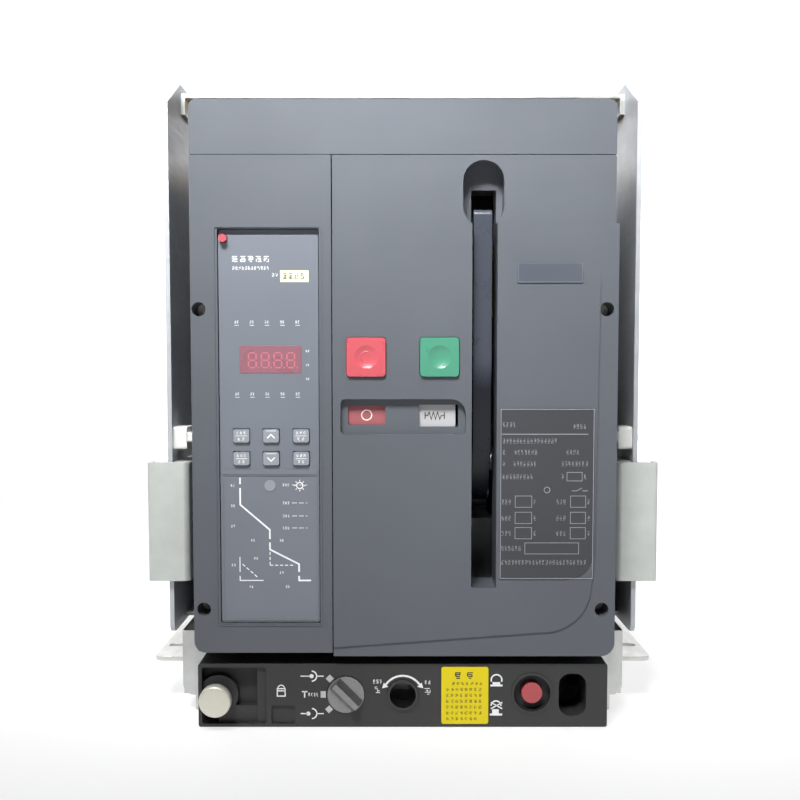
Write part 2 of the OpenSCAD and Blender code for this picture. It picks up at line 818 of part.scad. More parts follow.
module cover_screws() {
    color("silver") both_sides() for (p = cover_screw_places)
        translate([p[0], -150, p[1]]) rotate([90, 0, 0]) cap_screw(1.9, 50, 3.3, 3);
}

module rating_plate() {
    color("dimgray") from_front(plateau_y - 0.5, 0.5)
        panel_shape(50.1, 99, 79.9, 168.8, [1, 14, 2, 1]);
}

module blank_plate() {
    color("lightsteelblue") from_front(plateau_y - 0.5, 0.5)
        panel_shape(58.5, 92.2, 232.8, 243.3, [1, 1, 6, 1]);
}

module arc_chutes() {
    half = 30.7;
    y0 = -11.6;
    y1 = 61.6;
    z0 = 266;
    z1 = 318;
    plates = 9;
    step = (y1 - y0 - 10) / plates;
    color("tan") at_poles() difference() {
        union() {
            block([-half, y0, z0], [half, y1, z1]);
            block([-34.2, y0 - 6, body_top], [34.2, y1 + 6, body_top + 4]);
        }
        // slits between the splitter plates
        for (i = [0:plates - 1])
            block([-half + 4, y0 + 7 + i * step, z0 - slop], [half - 4, y0 + 7 + i * step + 4.5, z1 - 6]);
        // vents in the lid
        for (i = [0:plates - 1]) for (x = [-20, 0, 20])
            block([x - 7, y0 + 8 + i * step, z1 - 6 - slop], [x + 7, y0 + 8 + i * step + 2.5, z1 + slop]);
    }
}

module upper_stabs() {
    pad_y = 31;
    color("peru") at_poles() {
        block([-stab_w / 2, pad_y + 4, upper_z - stab_t / 2], [stab_w / 2, 96, upper_z + stab_t / 2]);
        block([-22, pad_y, upper_z - 14], [22, pad_y + 4, upper_z + 11]);
    }
}

module lower_stabs() {
    color("peru") at_poles() {
        block([-stab_w / 2, 16, lower_z - stab_t / 2], [stab_w / 2, 96, lower_z + stab_t / 2]);
    }
}

module current_transformers() {
    color("ivory") at_poles() difference() {
        from_front(40, 18) panel_shape(-31, 31, lower_z - 24, lower_z + 24, 3);
        block([-stab_w / 2, 39, lower_z - stab_t / 2], [stab_w / 2, 60, lower_z + stab_t / 2]);
    }
}

module flexible_shunts() {
    z0 = lower_z + stab_t / 2;
    color("chocolate") at_poles() for (x = [-17, 0, 17]) from_left(x - 6, 12) polygon([
        [17, z0], [33, z0], [33, z0 + 4], [25, z0 + 5], [22, z0 + 9], [24, z0 + 13], [30, z0 + 17],
        [30, z0 + 21], [22, z0 + 21], [18, z0 + 15], [16, z0 + 9], [17, z0 + 4]
    ]);
}

module mechanism_plates() {
    nose = [[-108, 106], [-138, 108], [-140, 136], [-108, 142]];
    back = case_back - 2;
    rods = [[-100, 75], [-34, 75], [-100, 270], [-34, 270], [-28, 180]];
    color("silver") difference() {
        union() {
            both_sides() from_left(mech_x - mech_t, mech_t)
                panel_shape(-106, back, 60, 285, 8);
            from_left(mech_x - mech_t, mech_t) polygon(nose);
            for (p = rods) bar_x(-mech_x + slop, mech_x - slop, p[0], p[1], 4);
            bar_x(mech_x - slop, handle_x + handle_w / 2 + 1, handle_pivot_y, handle_pivot_z, handle_pin_r);
        }
        bar_x(-mech_x - slop, mech_x + slop, main_shaft_y, main_shaft_z, main_shaft_r + shaft_gap);
        bar_x(-mech_x - slop, mech_x + slop, cam_shaft_y, cam_shaft_z, cam_shaft_r + shaft_gap);
    }
}

module closing_springs() {
    color("dimgray") for (x = [-15, 15])
        translate([x, -84, 72]) rippled_spring(98, 12, 8, 4);
}

module release_coils() {
    color("goldenrod") for (x = [50, 71, 92]) {
        translate([x, -80, 222]) cylinder(h = 34, r = 9);
        translate([x, -80, 256]) cylinder(h = 8, r = 2);
        block([x - 9.5, -92, 219], [x + 9.5, -68, 222]);
        block([x - 9.5, -68, 219], [x + 9.5, -66, 260]);
    }
}

module auxiliary_switch() {
    color("black") {
        block([-98, -84, 262], [-42, -44, 290]);
        for (i = [0:5]) for (y = [-78, -52])
            translate([-93 + i * 9, y, 290]) cylinder(h = 3, r = 2.4);
        bar_x(-42, -36, -64, 276, 3);
    }
}

module charging_motor() {
    color("darkgray") {
        bar_x(52, 100, -70, 80, 20);
        block([36, -95, 58], [52, -45, 102]);
        bar_x(100, 104, -70, 80, 7);
    }
}

module secondary_plug() {
    color("darkslategray") difference() {
        union() {
            block([-95, -99, body_top], [95, -88, 340]);
            for (x = socket_xs) block([x - 18, -88 - slop, 328], [x + 18, -70, 334]);
        }
        for (x = socket_xs) block([x - 16, -86, 330], [x + 16, -69, 332]);
    }
}

module support_lugs() {
    rail_top = 137.8;
    z0 = rail_top + 0.4;
    color("silver") both_sides() {
        block([body_x, -70, z0], [124, 30, z0 + 3]);
        block([body_x, -70, z0], [body_x + 2.5, 30, 168]);
        for (y = [-55, 15]) bar_x(body_x + 2.5, body_x + 3.2, y, 158, 4);
    }
}

module trip_unit_case() {
    x0 = -94.8;
    x1 = -43.2;
    z0 = 57;
    z1 = 257;
    front = -164.5;
    wall = 2;
    color("dimgray") difference() {
        block([x0, front, z0], [x1, -100, z1]);
        block([x0 + wall, front - slop, z0 + wall], [x1 - wall, -100 - wall, z1 - wall]);
    }
}

module trip_fascia() {
    x0 = -94.6;
    x1 = -43.4;
    z0 = 56.9;
    z1 = 257.4;
    front = -167.5;
    ledge_z0 = 134.4;
    ledge_z1 = 137;
    window = [-84.1, -52.2, 186.8, 200.9];
    kx = key_w / 2 + slide_gap;
    kz = key_h / 2 + slide_gap;
    color("darkslategray") difference() {
        union() {
            from_front(front, 3) panel_shape(x0, x1, z0, z1, 0.8);
            block([x0 + 0.6, front - 0.6, ledge_z0], [x1 - 0.6, front + slop, ledge_z1]);
            // set-back strip that fills the window above the face
            block([x0, front + 1.7, z1 - slop], [x1, front + 3, trip_window[3] - slide_gap]);
            // outline of the lower panel
            from_front(front - 0.3, 1) difference() {
                panel_shape(x0 + 0.8, x1 - 0.8, z0 + 0.8, ledge_z0, 0.7);
                panel_shape(x0 + 1.6, x1 - 1.6, z0 + 1.6, ledge_z0 - 0.8, 0.5);
            }
        }
        for (x = key_columns) for (z = key_rows)
            block([x - kx, front - slop, z - kz], [x + kx, front + 4, z + kz]);
        block([window[0], front - slop, window[2]], [window[1], front + 1.5, window[3]]);
        bar_y(reset_x, front - slop, front + 4, reset_z, reset_r + 0.3);
    }
}

module display_lens() {
    color("firebrick") block([-84.1, -167.7, 186.8], [-52.2, -166, 200.9]);
}

// ---------- breaker, moving pieces ----------

module moving_contacts() {
    hub_r = 9;
    reach = 92;
    finger_w = 7;
    finger_pitch = 9;
    arm_l = 43;
    color("peru") at_poles() translate([0, contact_pivot_y, contact_pivot_z]) rotate([contact_angle, 0, 0]) {
        bar_x(-24, 24, 0, 0, hub_r);
        bar_x(-30.5, 30.5, 0, 0, contact_pin_r);
        block([-23, -4, 5], [23, 3, 62]);
        for (i = [-2:2])
            block([i * finger_pitch - finger_w / 2, -4, 60], [i * finger_pitch + finger_w / 2, 4, reach]);
        // arm towards the main shaft
        rotate([-9, 0, 0]) block([-6, -arm_l, -4], [6, -6, 4]);
    }
}

module main_shaft() {
    crank_w = 12;
    color("silver") {
        bar_x(-99, 99, main_shaft_y, main_shaft_z, main_shaft_r);
        at_poles() {
            bar_x(-crank_w / 2, crank_w / 2, main_shaft_y, main_shaft_z, 14);
            bar_x(-crank_w / 2, crank_w / 2, main_shaft_y + 8, main_shaft_z + 7, 6.5);
        }
    }
}

module cam_shaft() {
    color("silver") {
        bar_x(-38, 38, cam_shaft_y, cam_shaft_z, cam_shaft_r);
        bar_x(-9, 9, cam_shaft_y + 4, cam_shaft_z + 3, 16);
        translate([14, cam_shaft_y, cam_shaft_z]) rotate([0, 90, 0]) linear_extrude(6)
            polygon([for (i = [0:23]) each [
                [19 * cos(15 * i), 19 * sin(15 * i)],
                [16 * cos(15 * i + 3), 16 * sin(15 * i + 3)]
            ]]);
    }
}

module charging_handle() {
    grip_front = -161;
    grip_back = -154;
    top = 271.1;
    hub_r = 10;
    x0 = handle_x - handle_w / 2;
    color("midnightblue") difference() {
        union() {
            from_left(x0, handle_w) polygon(concat(
                [[grip_front, 150], [grip_front, 184], [grip_front - 1.2, 188]],
                arc(grip_front + 1.8, top - 3, 3, 180, 90, 4),
                arc(grip_back - 3, top - 3, 3, 90, 0, 4),
                [[grip_back, 160], [handle_pivot_y + 4, handle_pivot_z + 6]],
                [[handle_pivot_y - 4, handle_pivot_z - 8], [-146, 126]]
            ));
            bar_x(x0, x0 + handle_w, handle_pivot_y, handle_pivot_z, hub_r);
        }
        bar_x(x0 - slop, x0 + handle_w + slop, handle_pivot_y, handle_pivot_z, handle_pin_r + shaft_gap);
    }
}

// a square push button with a dished centre
module push_button(x) {
    h = button_size / 2;
    front = plateau_y - 1.5;
    dish_r = 6.2;
    dish_depth = 1.4;
    ball_r = (dish_r * dish_r + dish_depth * dish_depth) / (2 * dish_depth);
    difference() {
        union() {
            from_front(front, 16) panel_shape(x - h, x + h, button_z - h, button_z + h, 1.8);
            bar_y(x, front + 15, -140, button_z, 4);
        }
        translate([x, front + dish_depth - ball_r, button_z]) sphere(r = ball_r, $fn = 96);
    }
}

module open_button() {
    color("red") push_button(-button_x);
}

module close_button() {
    color("green") push_button(button_x);
}

// a flag plate behind its window, with a second field above it
module flag(window) {
    front = -164.7;
    margin = 0.8;
    block([window[0] - margin, front, window[2] - margin],
        [window[1] + margin, front + 1.2, window[3] + flag_travel + margin]);
}

module onoff_flag() {
    color("crimson") flag(flag_window_red);
}

module charge_flag() {
    // stops 2 mm short of the window's right edge, so a dark gap shows there
    color("white") flag([flag_window_white[0], flag_window_white[1] - 2, flag_window_white[2],
        flag_window_white[3]]);
}

module reset_button() {
    color("firebrick") bar_y(reset_x, -170.5, -166.8, reset_z, reset_r);
}

module key(index) {
    x = key_columns[index % 3];
    z = key_rows[floor(index / 3)];
    front = -168.9;
    color("gray") from_front(front, 6)
        panel_shape(x - key_w / 2, x + key_w / 2, z - key_h / 2, z + key_h / 2, 1);
}

base_tray();
side_plate_left();
side_plate_right();
mounting_feet();
chassis_panel();
warning_label();
contact_base();
rear_terminals();
finger_clusters();
top_bridge();
secondary_socket();
guide_blocks();
chassis_screws();
guide_rail_left();
guide_rail_right();
racking_screw();
racking_carriage();
position_knob();
release_button();
lock_plunger();
shutter_upper();
shutter_lower();
pole_base();
front_case();
main_cover();
trip_cover();
top_cover();
cover_screws();
rating_plate();
blank_plate();
arc_chutes();
upper_stabs();
lower_stabs();
current_transformers();
flexible_shunts();
mechanism_plates();
closing_springs();
release_coils();
auxiliary_switch();
charging_motor();
secondary_plug();
support_lugs();
trip_unit_case();
trip_fascia();
display_lens();
moving_contacts();
main_shaft();
cam_shaft();
charging_handle();
close_button();
open_button();
onoff_flag();
charge_flag();
reset_button();
key(0);  // key_1
key(1);  // key_2
key(2);  // key_3
key(3);  // key_4
key(4);  // key_5
key(5);  // key_6
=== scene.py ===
"""Looks for the draw-out air circuit breaker: materials, printed marks, small parts, light and camera."""

import json
import math
import random

import bmesh
import bpy
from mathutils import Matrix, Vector


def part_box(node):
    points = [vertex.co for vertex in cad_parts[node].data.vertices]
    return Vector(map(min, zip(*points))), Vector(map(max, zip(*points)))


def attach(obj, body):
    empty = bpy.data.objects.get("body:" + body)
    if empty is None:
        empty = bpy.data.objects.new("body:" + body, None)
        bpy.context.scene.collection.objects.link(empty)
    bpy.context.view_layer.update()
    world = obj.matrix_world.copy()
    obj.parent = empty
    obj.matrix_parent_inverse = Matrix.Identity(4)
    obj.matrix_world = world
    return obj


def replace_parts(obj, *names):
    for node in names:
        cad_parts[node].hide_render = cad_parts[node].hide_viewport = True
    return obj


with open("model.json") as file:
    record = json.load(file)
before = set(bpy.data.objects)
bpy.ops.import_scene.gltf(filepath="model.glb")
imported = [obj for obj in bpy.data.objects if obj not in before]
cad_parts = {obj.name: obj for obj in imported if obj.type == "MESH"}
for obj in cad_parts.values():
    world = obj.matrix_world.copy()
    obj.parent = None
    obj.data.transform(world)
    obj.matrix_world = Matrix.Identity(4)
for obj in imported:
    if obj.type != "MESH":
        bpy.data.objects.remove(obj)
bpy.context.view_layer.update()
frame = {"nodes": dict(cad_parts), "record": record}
NODES = frame["nodes"]
MM = 0.001


# ---------------------------------------------------------------- materials

def new_material(name):
    """A Principled material, its node tree, its shader and its object coordinates."""
    mat = bpy.data.materials.new(name)
    mat.use_nodes = True
    tree = mat.node_tree
    shader = tree.nodes["Principled BSDF"]
    coords = tree.nodes.new("ShaderNodeTexCoord")
    return mat, tree, shader, coords.outputs["Object"]


def add_noise(tree, vector, scale, detail=3.0, rough=0.55, stretch=None):
    """A noise texture on object coordinates; stretch squeezes it along an axis for brushed grain."""
    if stretch:
        mapping = tree.nodes.new("ShaderNodeMapping")
        mapping.inputs["Scale"].default_value = stretch
        tree.links.new(vector, mapping.inputs["Vector"])
        vector = mapping.outputs["Vector"]
    noise = tree.nodes.new("ShaderNodeTexNoise")
    noise.inputs["Scale"].default_value = scale
    noise.inputs["Detail"].default_value = detail
    noise.inputs["Roughness"].default_value = rough
    tree.links.new(vector, noise.inputs["Vector"])
    return noise.outputs["Fac"]


def remap(tree, value, low, high):
    """A value from 0..1 stretched over low..high."""
    node = tree.nodes.new("ShaderNodeMapRange")
    node.inputs["From Min"].default_value = 0.3
    node.inputs["From Max"].default_value = 0.7
    node.inputs["To Min"].default_value = low
    node.inputs["To Max"].default_value = high
    tree.links.new(value, node.inputs["Value"])
    return node.outputs["Result"]


def tint(tree, value, dark, light):
    """A colour between dark and light, steered by a value."""
    ramp = tree.nodes.new("ShaderNodeValToRGB")
    ramp.color_ramp.elements[0].position = 0.3
    ramp.color_ramp.elements[1].position = 0.7
    ramp.color_ramp.elements[0].color = (*dark, 1)
    ramp.color_ramp.elements[1].color = (*light, 1)
    tree.links.new(value, ramp.inputs["Fac"])
    return ramp.outputs["Color"]


def shade(rgb, factor):
    return tuple(min(1.0, c * factor) for c in rgb)


def bump_from(tree, shader, value, strength, distance):
    bump = tree.nodes.new("ShaderNodeBump")
    bump.inputs["Strength"].default_value = strength
    bump.inputs["Distance"].default_value = distance
    tree.links.new(value, bump.inputs["Height"])
    tree.links.new(bump.outputs["Normal"], shader.inputs["Normal"])


def moulded(name, rgb, rough=0.5, grain=900.0, bump=0.12, mottle=0.06, coat=0.0, soft=0.1):
    """Moulded plastic: spark-eroded grain, slow colour drift and patches of different gloss."""
    mat, tree, shader, vector = new_material(name)
    slow = add_noise(tree, vector, 14.0, 2.0)
    colour = tint(tree, slow, shade(rgb, 1 - mottle), shade(rgb, 1 + mottle))
    tree.links.new(colour, shader.inputs["Base Color"])
    patches = add_noise(tree, vector, 60.0, 4.0)
    tree.links.new(remap(tree, patches, rough - soft * 0.5, rough + soft * 0.5), shader.inputs["Roughness"])
    fine = add_noise(tree, vector, grain, 2.0, 0.6)
    bump_from(tree, shader, fine, bump, 0.0002)
    shader.inputs["Coat Weight"].default_value = coat
    shader.inputs["Coat Roughness"].default_value = 0.25
    shader.inputs["Specular IOR Level"].default_value = 0.45
    return mat


def plated(name, rgb, rough=0.38, mottle=0.12, scale=70.0, stretch=None, metallic=1.0, bump=0.08):
    """Plated or bare metal sheet: cloudy plating, fine directional grain and faint stains."""
    mat, tree, shader, vector = new_material(name)
    clouds = add_noise(tree, vector, scale, 5.0, 0.6)
    colour = tint(tree, clouds, shade(rgb, 1 - mottle), shade(rgb, 1 + mottle))
    tree.links.new(colour, shader.inputs["Base Color"])
    grain = add_noise(tree, vector, 300.0, 4.0, 0.7, stretch or (1.0, 0.06, 1.0))
    tree.links.new(remap(tree, grain, rough - 0.08, rough + 0.1), shader.inputs["Roughness"])
    bump_from(tree, shader, grain, bump, 0.0001)
    shader.inputs["Metallic"].default_value = metallic
    return mat


def ink(name, rgb, rough=0.55):
    """Printing ink: nearly flat colour with a thin uneven film."""
    mat, tree, shader, vector = new_material(name)
    film = add_noise(tree, vector, 500.0, 3.0)
    tree.links.new(tint(tree, film, shade(rgb, 0.93), shade(rgb, 1.04)), shader.inputs["Base Color"])
    tree.links.new(remap(tree, film, rough - 0.05, rough + 0.08), shader.inputs["Roughness"])
    return mat


HANDLE_PAINTED_SHADE_BELOW = 0.178  # heights in metres between the handle's painted shade below and its painted sheen above
HANDLE_PAINTED_SHEEN_ABOVE = 0.194


def handle_painted_light_material():
    """Slate moulding with painted shade in its lower part, where the slot shades it, and a painted sheen
    above.
    """
    mat = moulded("handle_plastic", (0.02, 0.023, 0.03), rough=0.3, grain=1200, bump=0.08)
    tree = mat.node_tree
    shader = tree.nodes["Principled BSDF"]
    coords = next(node for node in tree.nodes if node.bl_idname == "ShaderNodeTexCoord")
    split = tree.nodes.new("ShaderNodeSeparateXYZ")
    tree.links.new(coords.outputs["Object"], split.inputs["Vector"])
    height = tree.nodes.new("ShaderNodeMapRange")
    height.inputs["From Min"].default_value = HANDLE_PAINTED_SHADE_BELOW
    height.inputs["From Max"].default_value = HANDLE_PAINTED_SHEEN_ABOVE
    tree.links.new(split.outputs["Z"], height.inputs["Value"])
    # the colour ramp paints shade on the lower handle and a sheen on the upper handle
    ramp = tree.nodes.new("ShaderNodeValToRGB")
    ramp.color_ramp.elements[0].color = (0.003, 0.005, 0.011, 1)
    ramp.color_ramp.elements[1].color = (0.05, 0.057, 0.075, 1)
    tree.links.new(height.outputs["Result"], ramp.inputs["Fac"])
    tree.links.new(ramp.outputs["Color"], shader.inputs["Base Color"])
    return mat


MATERIALS = {
    "cover_plastic": moulded("cover_plastic", (0.1, 0.11, 0.127), rough=0.44, bump=0.16, mottle=0.05),
    "panel_plastic": moulded("panel_plastic", (0.034, 0.034, 0.034), rough=0.5, bump=0.14, mottle=0.1),
    "fascia_plastic": moulded("fascia_plastic", (0.162, 0.178, 0.208), rough=0.34, grain=1400, bump=0.05),
    "case_plastic": moulded("case_plastic", (0.09, 0.1, 0.115), rough=0.55),
    "brown_moulding": moulded("brown_moulding", (0.05, 0.046, 0.043), rough=0.42, mottle=0.15, bump=0.1),
    "socket_plastic": moulded("socket_plastic", (0.045, 0.048, 0.052), rough=0.5),
    "shutter_plastic": moulded("shutter_plastic", (0.56, 0.52, 0.42), rough=0.5, mottle=0.04),
    "handle_plastic": handle_painted_light_material(),
    "key_plastic": moulded("key_plastic", (0.27, 0.29, 0.325), rough=0.38, grain=1500, bump=0.04),
    "button_red": moulded("button_red", (0.52, 0.088, 0.108), rough=0.3, bump=0.03, mottle=0.03, coat=0.3),
    "button_green": moulded("button_green", (0.066, 0.27, 0.175),
                             rough=0.3, bump=0.03, mottle=0.03, coat=0.3),
    "flag_red": moulded("flag_red", (0.36, 0.11, 0.12), rough=0.35, bump=0.02),
    "flag_white": moulded("flag_white", (0.47, 0.47, 0.48), rough=0.35, bump=0.02),
    "lens_red": moulded("lens_red", (0.26, 0.115, 0.145), rough=0.3, bump=0.02, coat=0.3),
    "nylon": moulded("nylon", (0.76, 0.76, 0.73), rough=0.45, bump=0.05, mottle=0.03),
    "chute_fibre": moulded("chute_fibre", (0.4, 0.27, 0.14), rough=0.7, mottle=0.18),
    "ct_resin": moulded("ct_resin", (0.62, 0.57, 0.45), rough=0.45, mottle=0.08),
    "coil_tape": moulded("coil_tape", (0.55, 0.4, 0.07), rough=0.4, mottle=0.1),
    "plate_dark": moulded("plate_dark", (0.05, 0.053, 0.06), rough=0.4, grain=1500, bump=0.04),
    "plate_pale": moulded("plate_pale", (0.078, 0.09, 0.112), rough=0.4, grain=1500, bump=0.04),
    "label_yellow": moulded("label_yellow", (0.74, 0.6, 0.0), rough=0.55, grain=1500, bump=0.04, mottle=0.03),
    "zinc_sheet": plated("zinc_sheet", (0.62, 0.63, 0.62), rough=0.36),
    "plate_steel": plated("plate_steel", (0.5, 0.52, 0.55), rough=0.42, mottle=0.08, metallic=0.3),
    "feet_steel": plated("feet_steel", (0.7, 0.7, 0.68), rough=0.4, metallic=0.8),
    "rail_zinc": plated("rail_zinc", (0.58, 0.61, 0.58), rough=0.45, mottle=0.06, metallic=0.35),
    "tinned_bar": plated("tinned_bar", (0.68, 0.68, 0.66), rough=0.34),
    "silvered_copper": plated("silvered_copper", (0.66, 0.6, 0.5), rough=0.34),
    "bare_copper": plated("bare_copper", (0.72, 0.34, 0.19), rough=0.4),
    "zinc_fastener": plated("zinc_fastener", (0.55, 0.55, 0.54), rough=0.35),
    "turned_steel": plated("turned_steel", (0.5, 0.5, 0.5), rough=0.3, stretch=(0.06, 1.0, 1.0)),
    "carriage_steel": plated("carriage_steel", (0.45, 0.45, 0.43), rough=0.4),
    "motor_steel": plated("motor_steel", (0.26, 0.27, 0.28), rough=0.45, metallic=0.6),
    "spring_steel": plated("spring_steel", (0.16, 0.16, 0.17), rough=0.35),
    "knob_silver": plated("knob_silver", (0.27, 0.27, 0.27), rough=0.3, mottle=0.04, metallic=0.8),
    "plunger_cream": plated("plunger_cream", (0.72, 0.7, 0.6), rough=0.42, mottle=0.05, metallic=0.35),
    "gloss_black": moulded("gloss_black", (0.012, 0.012, 0.013), rough=0.12, bump=0.01, coat=0.6, soft=0.04),
    "release_red": moulded("release_red", (0.42, 0.075, 0.085), rough=0.5, bump=0.08),
    "chrome": plated("chrome", (0.8, 0.8, 0.8), rough=0.14, mottle=0.03),
    "white_ink": ink("white_ink", (0.85, 0.86, 0.87)),
    "grey_ink": ink("grey_ink", (0.5, 0.5, 0.48)),
    "plate_ink": ink("plate_ink", (0.34, 0.36, 0.39)),
    "faint_ink": ink("faint_ink", (0.15, 0.165, 0.19)),
    "black_ink": ink("black_ink", (0.03, 0.03, 0.028)),
    "red_glow": ink("red_glow", (0.5, 0.14, 0.17)),
    "cream_film": ink("cream_film", (0.83, 0.78, 0.52)),
}


# ---------------------------------------------------------------- CAD nodes

EDGE_BREAK = {
    "main_cover": 0.7, "trip_cover": 0.7, "top_cover": 0.9, "chassis_panel": 0.6,
    "open_button": 0.7, "close_button": 0.7, "charging_handle": 0.6, "guide_blocks": 0.5,
    "position_knob": 0.5, "release_button": 0.5, "lock_plunger": 0.3,
}
DEFAULT_BREAK = 0.25


def finish_node(name, obj, slots):
    """Gives a CAD node its material and breaks its sharp edges with a small bevel."""
    obj.data.materials.clear()
    obj.data.materials.append(MATERIALS[slots[name]])
    for polygon in obj.data.polygons:
        polygon.use_smooth = True
    weld = obj.modifiers.new("weld", "WELD")
    weld.merge_threshold = 0.000005
    bevel = obj.modifiers.new("edge_break", "BEVEL")
    bevel.width = EDGE_BREAK.get(name, DEFAULT_BREAK) * MM
    bevel.segments = 2
    bevel.limit_method = "ANGLE"
    bevel.angle_limit = math.radians(35)
    bevel.use_clamp_overlap = True
    normals = obj.modifiers.new("flat_faces", "WEIGHTED_NORMAL")
    normals.mode = "FACE_AREA_WITH_ANGLE"
    normals.weight = 100
    normals.keep_sharp = False


slot_of = {part["node"]: part["material_slot"] for part in frame["record"]["subparts"]}
slot_of["release_button"] = "release_red"
# the racking screw gets the dark spring steel as painted shade, so its square end deep in the crank socket
# looks black
slot_of["racking_screw"] = "spring_steel"
for node_name, node_object in NODES.items():
    finish_node(node_name, node_object, slot_of)


# ---------------------------------------------------------------- mesh tools

def add_object(name, bm, material, body, smooth=False):
    """Turns a bmesh into a piece with one material that rides on a body."""
    bmesh.ops.recalc_face_normals(bm, faces=bm.faces)
    mesh = bpy.data.meshes.new(name)
    bm.to_mesh(mesh)
    bm.free()
    for polygon in mesh.polygons:
        polygon.use_smooth = smooth
    obj = bpy.data.objects.new(name, mesh)
    bpy.context.scene.collection.objects.link(obj)
    mesh.materials.append(MATERIALS[material])
    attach(obj, body)
    return obj


def offset_line(points, half, closed=False):
    """The left and right edges of a line of one width, mitred at its corners."""
    count = len(points)
    left, right = [], []
    for i, (x, z) in enumerate(points):
        before = points[i - 1] if (i > 0 or closed) else None
        after = points[(i + 1) % count] if (i < count - 1 or closed) else None
        dirs = []
        if before is not None:
            dirs.append(Vector((x - before[0], z - before[1])).normalized())
        if after is not None:
            dirs.append(Vector((after[0] - x, after[1] - z)).normalized())
        normals = [Vector((-d.y, d.x)) for d in dirs]
        mean = sum(normals, Vector((0, 0))).normalized()
        reach = half / max(0.35, mean.dot(normals[0]))
        left.append((x + mean.x * reach, z + mean.y * reach))
        right.append((x - mean.x * reach, z - mean.y * reach))
    return left, right


class Print:
    """Printed marks on a face that looks along -Y. Places are in mm from the face's lower left corner."""

    def __init__(self, corner, height=0.06):
        self.corner = corner
        self.height = height
        self.quads = []
        self.fans = []

    def bar(self, x, z, w, h, turn=0.0):
        """A bar with its middle at x, z."""
        c, s = math.cos(math.radians(turn)), math.sin(math.radians(turn))
        corners = [(-w / 2, -h / 2), (w / 2, -h / 2), (w / 2, h / 2), (-w / 2, h / 2)]
        self.fans.append([(x + u * c - v * s, z + u * s + v * c) for u, v in corners])

    def line(self, points, width, closed=False):
        left, right = offset_line(points, width / 2, closed)
        last = len(points) if closed else len(points) - 1
        for i in range(last):
            j = (i + 1) % len(points)
            self.quads.append([left[i], left[j], right[j], right[i]])

    def dashes(self, start, end, width, dash, gap):
        a, b = Vector(start), Vector(end)
        total = (b - a).length
        way = (b - a).normalized()
        at = 0.0
        while at < total:
            stop = min(at + dash, total)
            p, q = a + way * at, a + way * stop
            self.line([tuple(p), tuple(q)], width)
            at = stop + gap

    def ring(self, x, z, r, width, start=0.0, end=360.0, steps=40):
        closed = end - start >= 360
        count = steps if closed else steps + 1
        points = [
            (x + r * math.cos(math.radians(start + (end - start) * i / steps)),
             z + r * math.sin(math.radians(start + (end - start) * i / steps)))
            for i in range(count)
        ]
        self.line(points, width, closed)

    def disc(self, x, z, r, steps=28):
        self.fans.append([
            (x + r * math.cos(2 * math.pi * i / steps), z + r * math.sin(2 * math.pi * i / steps))
            for i in range(steps)
        ])

    def shape(self, points):
        self.fans.append(points)

    def frame(self, x0, z0, x1, z1, width):
        self.line([(x0, z0), (x1, z0), (x1, z1), (x0, z1)], width, True)

    def glyph(self, x, z, w, h, rng, weight):
        """One made-up character: short strokes scattered in a box, no real letter."""
        for row in (-0.5, -0.17, 0.17, 0.5):
            length = w * rng.choice([0.35, 0.6, 0.8])
            shift = (w - length) * (rng.random() - 0.5)
            self.bar(x + shift, z + row * (h - weight), length, weight * 0.8)
        for column in rng.sample([-0.4, 0.0, 0.4], 2):
            length = h * rng.choice([0.3, 0.45, 0.6])
            shift = (h - length) * (rng.random() - 0.5)
            self.bar(x + column * (w - weight), z + shift, weight * 0.8, length)

    def words(self, x, z, count, w, h, pitch, seed, weight=None):
        """A row of made-up characters that starts at x, with its middle at z."""
        rng = random.Random(seed)
        for i in range(count):
            self.glyph(x + w / 2 + i * pitch, z, w, h, rng, weight or h * 0.14)

    def build(self, name, material, body):
        bm = bmesh.new()
        for outline in self.quads + self.fans:
            verts = [
                bm.verts.new((self.corner.x + u * MM, self.corner.y, self.corner.z + v * MM))
                for u, v in outline
            ]
            bm.faces.new(verts)
        grown = bmesh.ops.extrude_face_region(bm, geom=bm.faces[:])
        moved = [v for v in grown["geom"] if isinstance(v, bmesh.types.BMVert)]
        bmesh.ops.translate(bm, verts=moved, vec=(0, -self.height * MM, 0))
        return add_object(name, bm, material, body)


def lathe(name, centre, profile, material, body, steps=64, hoop=False):
    """A turned piece on an axis along Y. The profile holds (y, radius) in mm; a hoop closes on itself."""
    bm = bmesh.new()
    rings = []
    for y, r in profile:
        ring = []
        for i in range(steps):
            a = 2 * math.pi * i / steps
            x = centre[0] + r * math.cos(a) * MM
            z = centre[1] + r * math.sin(a) * MM
            ring.append(bm.verts.new((x, y * MM, z)))
        rings.append(ring)
    pairs = list(zip(rings, rings[1:]))
    if hoop:
        pairs.append((rings[-1], rings[0]))
    for a, b in pairs:
        for i in range(steps):
            j = (i + 1) % steps
            bm.faces.new((a[i], a[j], b[j], b[i]))
    if not hoop:
        bm.faces.new(rings[0])
        bm.faces.new(rings[-1])
    return add_object(name, bm, material, body, smooth=True)


def tube(name, paths, radius, material, body, sides=8):
    """Closed tubes of one radius along paths given in mm. The frame is carried along each path."""
    bm = bmesh.new()
    for path in paths:
        points = [Vector(p) for p in path]
        previous = None
        normal = Vector((0, 0, 1))
        for i, point in enumerate(points):
            ahead = points[min(i + 1, len(points) - 1)] - points[max(i - 1, 0)]
            ahead.normalize()
            side = ahead.cross(normal)
            if side.length < 0.1:
                side = ahead.cross(Vector((1, 0, 0)))
            side.normalize()
            normal = side.cross(ahead).normalized()
            ring = []
            for k in range(sides):
                a = 2 * math.pi * k / sides
                offset = side * math.cos(a) * radius + normal * math.sin(a) * radius
                ring.append(bm.verts.new((point + offset) * MM))
            if previous:
                for k in range(sides):
                    n = (k + 1) % sides
                    bm.faces.new((previous[k], previous[n], ring[n], ring[k]))
            else:
                bm.faces.new(ring)
            previous = ring
        bm.faces.new(previous)
    return add_object(name, bm, material, body, smooth=True)


# ---------------------------------------------------------------- trip unit

